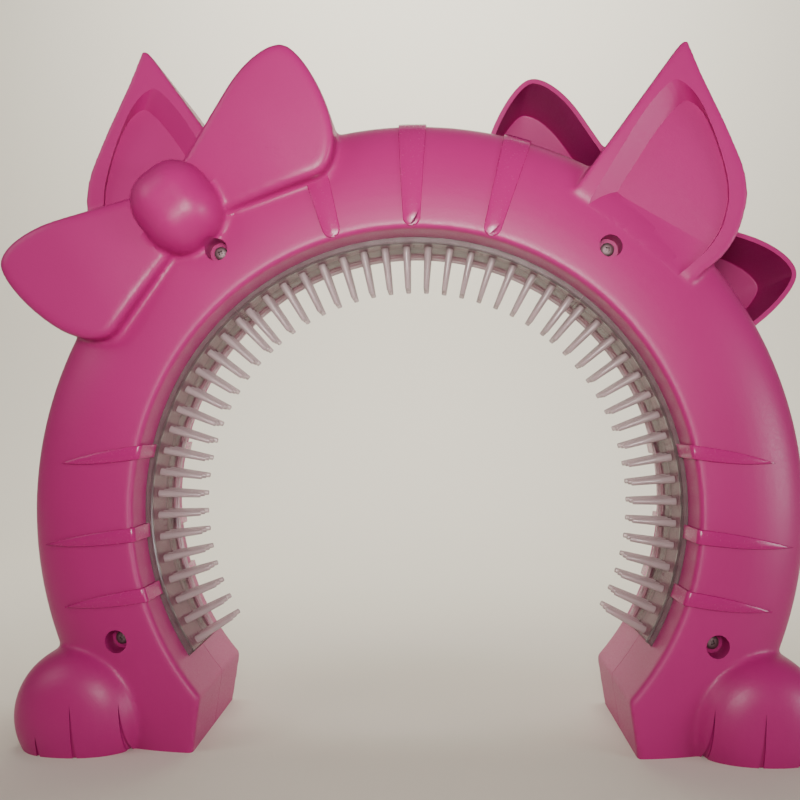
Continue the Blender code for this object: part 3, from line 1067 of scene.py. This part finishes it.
@dataclass
class Stripes:
    """Raised tabby stripes: three over the top and three claw-shaped ones on each side."""

    band: ArchBand
    top_rise: float = 1.0
    side_rise: float = 1.4
    edge_bevel: float = 0.55
    clear_radius: float = 122.1
    clear_height: float = 21.7
    top_angles: tuple[float, ...] = (106.0, 90.0, 74.0)
    top_widths: tuple[float, float] = (7.4, 13.5)
    side_angles: tuple[float, ...] = (11.8, -5.05, -17.5)
    side_reach: tuple[float, ...] = (33.0, 41.0, 36.0)
    side_sweep: tuple[float, ...] = (-11.7, -1.6, 4.9)
    side_width: float = 6.2

    def top_outline(self, angle: float) -> tuple[list[Flat], list[float]]:
        """Outline of a top stripe and its corner rounds."""
        inner = self.band.inner_radius + 0.8
        outer = self.band.outer_radius + 10.0
        near, far = (width / 2 for width in self.top_widths)
        corners: list[Flat] = [(far, outer), (-far, outer)]
        for degrees in range(0, 181, 20):
            turn = math.radians(degrees)
            corners.append((-near * math.cos(turn), inner + near * (1 - math.sin(turn))))
        out_x, out_z = polar(1.0, angle)
        placed = [(radius * out_x + across * out_z, radius * out_z - across * out_x)
                  for across, radius in corners]
        return placed, [0.0] * len(placed)

    def side_outline(self, index: int, side: Side) -> tuple[list[Flat], list[float]]:
        """Outline of a side stripe and its corner rounds."""
        inner = self.band.inner_radius
        reach = self.side_reach[index]
        sweep = self.side_sweep[index]
        half = self.side_width / 2
        stations = [(-4.0 / reach, 1.0), (0.35, 0.95), (0.7, 0.62)]
        left = [(half * width + sweep * t, inner + reach * t) for t, width in stations]
        right = [(-half * width + sweep * t, inner + reach * t) for t, width in stations]
        corners = [*left, (sweep, inner + reach), *reversed(right)]
        out_x, out_z = polar(1.0, self.side_angles[index])
        placed = [(radius * out_x - across * out_z, radius * out_z + across * out_x)
                  for across, radius in corners]
        rounds = [0.0, 0.45, 0.45, 0.0, 0.45, 0.45, 0.0]
        return [(x * side.value, z) for x, z in placed], rounds

    def build(self) -> list[bpy.types.Object]:
        """Make the stripes as parts of a thicker band.

        Returns:
            One solid for each stripe, rooted in the band.
        """
        jobs = [(self.top_outline(angle), angle, self.top_rise) for angle in self.top_angles]
        for index, angle in enumerate(self.side_angles):
            jobs.append((self.side_outline(index, Side.RIGHT), angle, self.side_rise))
            jobs.append((self.side_outline(index, Side.LEFT), 180.0 - angle, self.side_rise))
        solids = []
        for (corners, rounds), angle, rise in jobs:
            section = self.band.section(rise, 14.0)
            skin = spun(section, angle - 8.0, angle + 8.0, 12, "stripe")
            cutter = pillow(corners, rounds, 0.0, self.band.half_depth + 10.0, 0.0, "outline")
            solid = combine(skin, cutter, "INTERSECT")
            inside = [(90.0, -8.0), (self.clear_radius, -8.0), (self.clear_radius, self.clear_height),
                      (90.0, self.clear_height)]
            combine(solid, spun(inside, angle - 20.0, angle + 20.0, 30, "inside"), "DIFFERENCE")
            solids.append(self.soften(solid))
        return solids

    def soften(self, item: bpy.types.Object) -> bpy.types.Object:
        """Bevel the sharp edges of a stripe's face and mark it as polished.

        Args:
            item: the stripe.

        Returns:
            The same stripe.
        """
        data = bmesh.new()
        data.from_mesh(item.data)
        bmesh.ops.dissolve_limit(
            data, angle_limit=math.radians(1.0), verts=data.verts, edges=data.edges,
            use_dissolve_boundaries=False, delimit=set(),
        )
        sharp = [
            edge for edge in data.edges
            if len(edge.link_faces) == 2 and edge.calc_face_angle() > math.radians(50)
            and max(-vert.co.y for vert in edge.verts) > 23.0 * MM
        ]
        bmesh.ops.bevel(
            data, geom=sharp, offset=self.edge_bevel * MM, offset_type="OFFSET", segments=2,
            profile=0.5, affect="EDGES", material=-1, clamp_overlap=False,
        )
        bmesh.ops.triangulate(data, faces=data.faces)
        polish = data.verts.layers.float.new("polish")
        for vert in data.verts:
            vert[polish] = 1.0
        data.to_mesh(item.data)
        data.free()
        return item


@dataclass
class Shells:
    """The two pink half shells of the arch."""

    finish: MouldedAbs
    band: ArchBand = field(default_factory=ArchBand)
    ear: Ear = field(default_factory=Ear)
    paw: Paw = field(default_factory=Paw)
    bow: Bow = field(default_factory=Bow)
    gap: float = 0.3
    dish_clearance: float = 0.15
    root: float = -4.0
    voxel: float = 1.1
    smoothing: int = 9
    comb_turn: float = 1.65
    comb_span: float = 81.2
    comb_half_width: float = 21.4
    pocket_radius: float = 122.1
    screws: tuple[Flat, ...] = ((138.6, 53.0), (138.6, 127.0), (137.62, -23.9), (137.62, 203.9))
    screw_hole: float = 5.0
    screw_seat: float = 28.0

    def skin(self) -> bpy.types.Object:
        """Blend the overlapping parts of a shell into one smooth skin.

        Returns:
            The solid front half, still without its cuts.
        """
        parts = [self.band.build(self.root)]
        for side in Side:
            parts.append(self.ear.build(side, self.root))
            parts.append(self.paw.dome_solid(side, self.root, 0.0))
        parts.extend(self.bow.build(self.root))
        body = gather(parts, "skin")
        remesh = body.modifiers.new("blend", "REMESH")
        remesh.mode = "VOXEL"
        remesh.voxel_size = self.voxel * MM * 1.0
        smooth = body.modifiers.new("soften", "SMOOTH")
        smooth.factor = 0.5
        smooth.iterations = self.smoothing
        return apply_modifiers(body)

    def comb_pocket(self, turn: float) -> bpy.types.Object:
        """Cutter for the band that the comb strips fill.

        Args:
            turn: how far the strips sit round from the middle, in degrees.

        Returns:
            The cutter.
        """
        half = 1.5 * self.comb_span + math.degrees(self.gap / self.band.inner_radius)
        top = self.comb_half_width + self.gap
        profile = [(100.0, -8.0), (self.pocket_radius, -8.0), (self.pocket_radius, top), (100.0, top)]
        return spun(profile, 90.0 + turn - half, 90.0 + turn + half, 160, "pocket")

    def screw_cutters(self) -> list[bpy.types.Object]:
        """Cutters for the sunk screw holes."""
        cutters = []
        for radius, angle in self.screws:
            x, z = polar(radius, angle)
            top = self.band.half_depth + 10.0
            profile = [(0.0, self.screw_seat), (self.screw_hole - 0.2, self.screw_seat),
                       (self.screw_hole, top), (0.0, top)]
            cutters.append(turned(profile, x, z, 40, "hole"))
        return cutters

    def build(self) -> list[bpy.types.Object]:
        """Make both shells and dress them.

        Returns:
            The front and the rear shell.
        """
        body = self.skin()
        flat_cut(body, world(0, 0, self.gap / 2), Vector((0, 1, 0)))
        flat_cut(body, world(0, -CENTRE_HEIGHT, 0), Vector((0, 0, -1)))
        stripes = gather(Stripes(self.band).build(), "stripes")
        cutters = self.bow.pockets()
        for side in Side:
            keep = spun(self.band.section(self.dish_clearance, -8.0), 10.0, 170.0, 90, "keep")
            dish = self.ear.dish_cutter(side, keep)
            if side is Side.LEFT:
                self.bow.clear(dish)
            cutters.append(dish)
            cutters.extend(self.paw.grooves_between_toes(side))
        for cutter in cutters:
            combine(body, cutter, "DIFFERENCE")
        shells = []
        material = self.finish.build()
        for face in Face:
            item = bpy.data.objects.new(face.value + "_moulding", body.data.copy())
            bpy.context.scene.collection.objects.link(item)
            turn = self.comb_turn if face is Face.FRONT else -self.comb_turn
            combine(item, self.comb_pocket(turn), "DIFFERENCE")
            if face is Face.FRONT:
                combine(item, gather(self.screw_cutters(), "holes"), "DIFFERENCE")
            item.data.attributes.new("polish", "FLOAT", "POINT")
            data = bmesh.new()
            data.from_mesh(item.data)
            data.from_mesh(stripes.data)
            data.to_mesh(item.data)
            data.free()
            if face is Face.REAR:
                item.data.transform(Matrix.Rotation(math.pi, 4, "Z"))
            item.data.materials.clear()
            item.data.materials.append(material)
            smooth_shade(item, 32.0)
            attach(item, "root")
            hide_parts(face.value + "_shell")
            shells.append(item)
        drop(body)
        drop(stripes)
        return shells


# ---------------------------------------------------------------------------------------------
# Combs
# ---------------------------------------------------------------------------------------------


@dataclass
class CombStrip:
    """One of the three translucent strips, with its rows of tapered pins."""

    name: str
    node: str
    start: float
    span: float = 81.2
    seam: float = 0.15
    half_width: float = 21.4
    rim_width: float = 2.2
    rim_rise: float = 1.5
    floor_radius: float = 117.3
    floor: float = 1.8
    flange_inner: float = 121.5
    flange_outer: float = 123.1
    flange: float = 5.0
    columns: int = 17
    rows: tuple[float, ...] = (-7.4, 0.0, 7.4)
    end_inset: float = 1.6
    tip_radius: float = 97.8
    base_width: float = 3.6
    tip_width: float = 2.3
    sides: int = 14

    def section(self) -> list[Flat]:
        """Section of the strip: floor, two rims and two flanges."""
        half = self.half_width
        rim = half - self.rim_width
        low = self.floor_radius - self.rim_rise
        right = [
            (self.floor_radius, rim - 0.5), (self.floor_radius - 0.5, rim), (low + 0.4, rim),
            (low, rim + 0.4), (low, half - 0.5), (low + 0.5, half), (self.flange_inner, half),
            (self.flange_inner, half + self.flange), (self.flange_outer, half + self.flange),
            (self.flange_outer, rim), (self.floor_radius + self.floor, rim),
        ]
        return right + [(radius, -h) for radius, h in reversed(right)]

    def pin(self, angle: float, h: float) -> bpy.types.Object:
        """Make one pin with a slightly rounded flat tip.

        Args:
            angle: place of the pin in degrees.
            h: height of its row over the meeting plane.

        Returns:
            The pin.
        """
        length = self.floor_radius - self.tip_radius
        data = bmesh.new()
        made = bmesh.ops.create_cone(
            data, cap_ends=True, segments=self.sides, radius1=self.base_width / 2,
            radius2=self.tip_width / 2, depth=length + 0.8,
        )
        top = max(vert.co.z for vert in made["verts"])
        rim = [edge for edge in data.edges if all(vert.co.z > top - 0.01 for vert in edge.verts)]
        bmesh.ops.bevel(
            data, geom=rim, offset=0.35, offset_type="OFFSET", segments=2, profile=0.5,
            affect="EDGES", material=-1, clamp_overlap=True,
        )
        bmesh.ops.translate(data, verts=data.verts, vec=(0, 0, (length + 0.8) / 2 - 0.8))
        bmesh.ops.scale(data, verts=data.verts, vec=(MM, MM, MM))
        inward = Vector((-math.cos(math.radians(angle)), 0.0, -math.sin(math.radians(angle))))
        turn = inward.to_track_quat("Z", "Y").to_matrix().to_4x4()
        root = world(*polar(self.floor_radius, angle), h)
        bmesh.ops.transform(data, verts=data.verts, matrix=Matrix.Translation(root) @ turn)
        return object_from(data, "pin")

    def build(self, material: bpy.types.Material) -> bpy.types.Object:
        """Make the strip and dress it.

        Args:
            material: its finish.

        Returns:
            The finished strip.
        """
        seam = self.seam / 2
        end = self.start + self.span
        strip = spun(self.section(), self.start + seam, end - seam, 48, self.name)
        pitch = (self.span - 2 * self.end_inset) / (self.columns - 1)
        pins = [
            self.pin(self.start + self.end_inset + column * pitch, row)
            for column in range(self.columns)
            for row in self.rows
        ]
        combine(strip, gather(pins, "pins"), "UNION")
        strip.name = self.name
        strip.data.materials.clear()
        strip.data.materials.append(material)
        smooth_shade(strip, 35.0)
        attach(strip, "root")
        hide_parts(self.node)
        return strip


@dataclass
class CombSet:
    """The three strips round the inside of the arch."""

    finish: SmokyElastomer
    turn: float = 1.65
    span: float = 81.2

    def build(self) -> list[bpy.types.Object]:
        """Make the three strips.

        Returns:
            The strips, right, top and left.
        """
        material = self.finish.build()
        start = 90.0 + self.turn - 1.5 * self.span
        strips = []
        for index, place in enumerate(("right", "top", "left")):
            strip = CombStrip(place + "_pin_strip", place + "_comb", start + index * self.span)
            strips.append(strip.build(material))
        return strips


# ---------------------------------------------------------------------------------------------
# Screws
# ---------------------------------------------------------------------------------------------


@dataclass
class Screws:
    """Four pan-head screws sunk in the front shell, each with a cross recess."""

    finish: PlatedSteel
    places: tuple[tuple[str, float, float], ...] = (
        ("upper_left", 138.6, 127.0), ("upper_right", 138.6, 53.0),
        ("lower_left", 137.62, 203.9), ("lower_right", 137.62, -23.9),
    )
    seat: float = 28.3
    head_radius: float = 2.9
    head_height: float = 2.2
    shank_radius: float = 1.5
    length: float = 16.0
    recess: float = 0.9

    def head_and_shank(self, x: float, z: float) -> bpy.types.Object:
        """Make the turned body of a screw."""
        seat = self.seat
        low = seat - self.length
        profile: list[Flat] = [(0.0, low), (0.4, low + 0.4), (self.shank_radius, low + 3.0)]
        for step in range(10):
            h = low + 3.0 + step * 0.9
            profile += [(self.shank_radius, h + 0.3), (self.shank_radius - 0.3, h + 0.6)]
        profile += [(self.shank_radius, seat), (self.head_radius - 0.1, seat)]
        profile += [(self.head_radius, seat + 0.2), (self.head_radius, seat + 1.0)]
        for degrees in (20, 40, 60, 80):
            turn = math.radians(degrees)
            profile.append((
                self.head_radius * math.cos(turn) ** 0.8,
                seat + 1.0 + (self.head_height - 1.0) * math.sin(turn),
            ))
        profile.append((0.0, seat + self.head_height))
        return turned(profile, x, z, 28, "screw_body")

    def cross(self, x: float, z: float, turn: float) -> bpy.types.Object:
        """Make the cutter of the cross recess: two tapered blades."""
        blades = []
        for quarter in (0.0, 90.0):
            data = bmesh.new()
            bmesh.ops.create_cube(data, size=1.0)
            bmesh.ops.scale(data, verts=data.verts, vec=(3.0, 3.0, 0.75 if quarter else 0.752))
            for vert in data.verts:
                if vert.co.y > 0:
                    vert.co.x *= 0.45
            bmesh.ops.rotate(
                data, verts=data.verts, cent=(0, 0, 0),
                matrix=Matrix.Rotation(math.radians(turn + quarter), 3, "Y"),
            )
            bmesh.ops.scale(data, verts=data.verts, vec=(MM, MM, MM))
            middle = self.seat + self.head_height + 1.5 - 1.4
            bmesh.ops.translate(data, verts=data.verts, vec=world(x, z, middle))
            blades.append(object_from(data, "blade"))
        return combine(blades[0], blades[1], "UNION")

    def build(self) -> list[bpy.types.Object]:
        """Make the screws and dress them.

        Returns:
            The four screws.
        """
        material = self.finish.build()
        made = []
        for number, (place, radius, angle) in enumerate(self.places):
            x, z = polar(radius, angle)
            item = self.head_and_shank(x, z)
            combine(item, self.cross(x, z, 20.0 + 31.0 * number), "DIFFERENCE")
            item.name = "pan_head_" + place
            item.data.materials.clear()
            item.data.materials.append(material)
            smooth_shade(item, 30.0)
            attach(item, "root")
            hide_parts("screw_" + place)
            made.append(item)
        return made


# ---------------------------------------------------------------------------------------------
# Studio
# ---------------------------------------------------------------------------------------------


@dataclass
class Studio:
    """Pale paper sweep, soft lights and the camera."""

    paper: PalePaper
    depth: float = 0.90
    width: float = 3.2
    bend: float = 0.35

    def sweep(self) -> bpy.types.Object:
        """Make the floor that bends up into the back wall."""
        data = bmesh.new()
        points = [(-1.8, 0.0), (self.depth - self.bend, 0.0)]
        for degrees in range(10, 91, 10):
            turn = math.radians(degrees)
            points.append((
                self.depth - self.bend + self.bend * math.sin(turn),
                self.bend * (1 - math.cos(turn)),
            ))
        points.append((self.depth, 1.9))
        verts = [data.verts.new((-self.width / 2, y, z)) for y, z in points]
        edges = [data.edges.new(pair) for pair in zip(verts, verts[1:])]
        raised = bmesh.ops.extrude_edge_only(data, edges=edges)["geom"]
        moved = [item for item in raised if isinstance(item, bmesh.types.BMVert)]
        bmesh.ops.translate(data, verts=moved, vec=(self.width, 0, 0))
        item = object_from(data, "paper_sweep")
        item.data.shade_smooth()
        item.data.materials.append(self.paper.build())
        return item

    def light(
        self, name: str, place: tuple[float, float, float], aim: tuple[float, float, float],
        size: float, power: float, colour: str, spread: float = 180.0,
    ) -> bpy.types.Object:
        """Add a soft square light.

        Args:
            name: name of the light.
            place: where it hangs.
            aim: the point it faces.
            size: its side in metres.
            power: its strength in watts.
            colour: sRGB hex colour.
            spread: full angle that the light reaches, in degrees.

        Returns:
            The light.
        """
        lamp = bpy.data.lights.new(name, "AREA")
        lamp.size = size
        lamp.energy = power
        lamp.color = linear(colour)[:3]
        lamp.spread = math.radians(spread)
        item = bpy.data.objects.new(name, lamp)
        item.location = place
        item.rotation_euler = (Vector(aim) - Vector(place)).to_track_quat("-Z", "Y").to_euler()
        item.visible_camera = False
        bpy.context.scene.collection.objects.link(item)
        return item

    def world(self) -> None:
        """Fill the surroundings with a soft pale glow."""
        surroundings = bpy.data.worlds.new("surroundings")
        surroundings.use_nodes = True
        glow = surroundings.node_tree.nodes["Background"]
        glow.inputs["Color"].default_value = linear("#D6D2C8")
        glow.inputs["Strength"].default_value = 0.34
        bpy.context.scene.world = surroundings

    def camera(self) -> bpy.types.Object:
        """Place the camera in front of the arch, a little above its middle."""
        lens = bpy.data.cameras.new("studio_camera")
        lens.lens = 40.5
        lens.sensor_width = 36.0
        lens.clip_start = 0.01
        item = bpy.data.objects.new("studio_camera", lens)
        right = Vector((0.99906723, 0.04314579, -0.00176221))
        ahead = Vector((-0.04308646, 0.99874159, 0.02566698))
        up = Vector((0.00286741, -0.02556711, 0.999669))
        turn = Matrix((right, up, -ahead)).transposed().to_4x4()
        item.matrix_world = Matrix.Translation((0.01124, -0.41608, 0.13865)) @ turn
        bpy.context.scene.collection.objects.link(item)
        bpy.context.scene.camera = item
        return item

    def build(self) -> None:
        """Set the stage."""
        self.camera()
        self.sweep()
        self.world()
        self.light("front", (0.02, -0.47, 0.20), (0.0, 0.0, 0.28), 0.12, 0.86, "#FFF9F2", 100.0)
        self.light("right_front", (1.20, -0.60, 0.12), (0.0, 0.0, 0.22), 0.45, 7.5, "#FFFFFF")
        self.light("left_front", (-0.95, -0.60, 0.75), (0.0, 0.0, 0.22), 0.60, 3.0, "#FFF7EE")
        self.light("wall", (0.0, 0.28, 0.95), (0.0, 0.90, 0.66), 0.8, 16.0, "#FFFBF0")


def main() -> None:
    """Build the arch and its studio, and report each piece."""
    logging.basicConfig(level=logging.INFO, format="%(name)s: %(message)s", stream=sys.stdout)
    Studio(PalePaper()).build()
    makers: list[Callable[[], list[bpy.types.Object]]] = [
        CombSet(SmokyElastomer()).build,
        Screws(PlatedSteel()).build,
        Shells(MouldedAbs()).build,
    ]
    for make in makers:
        for piece in make():
            LOG.info("%s: %d faces", piece.name, len(piece.data.polygons))


if __name__ == "__main__":
    main()
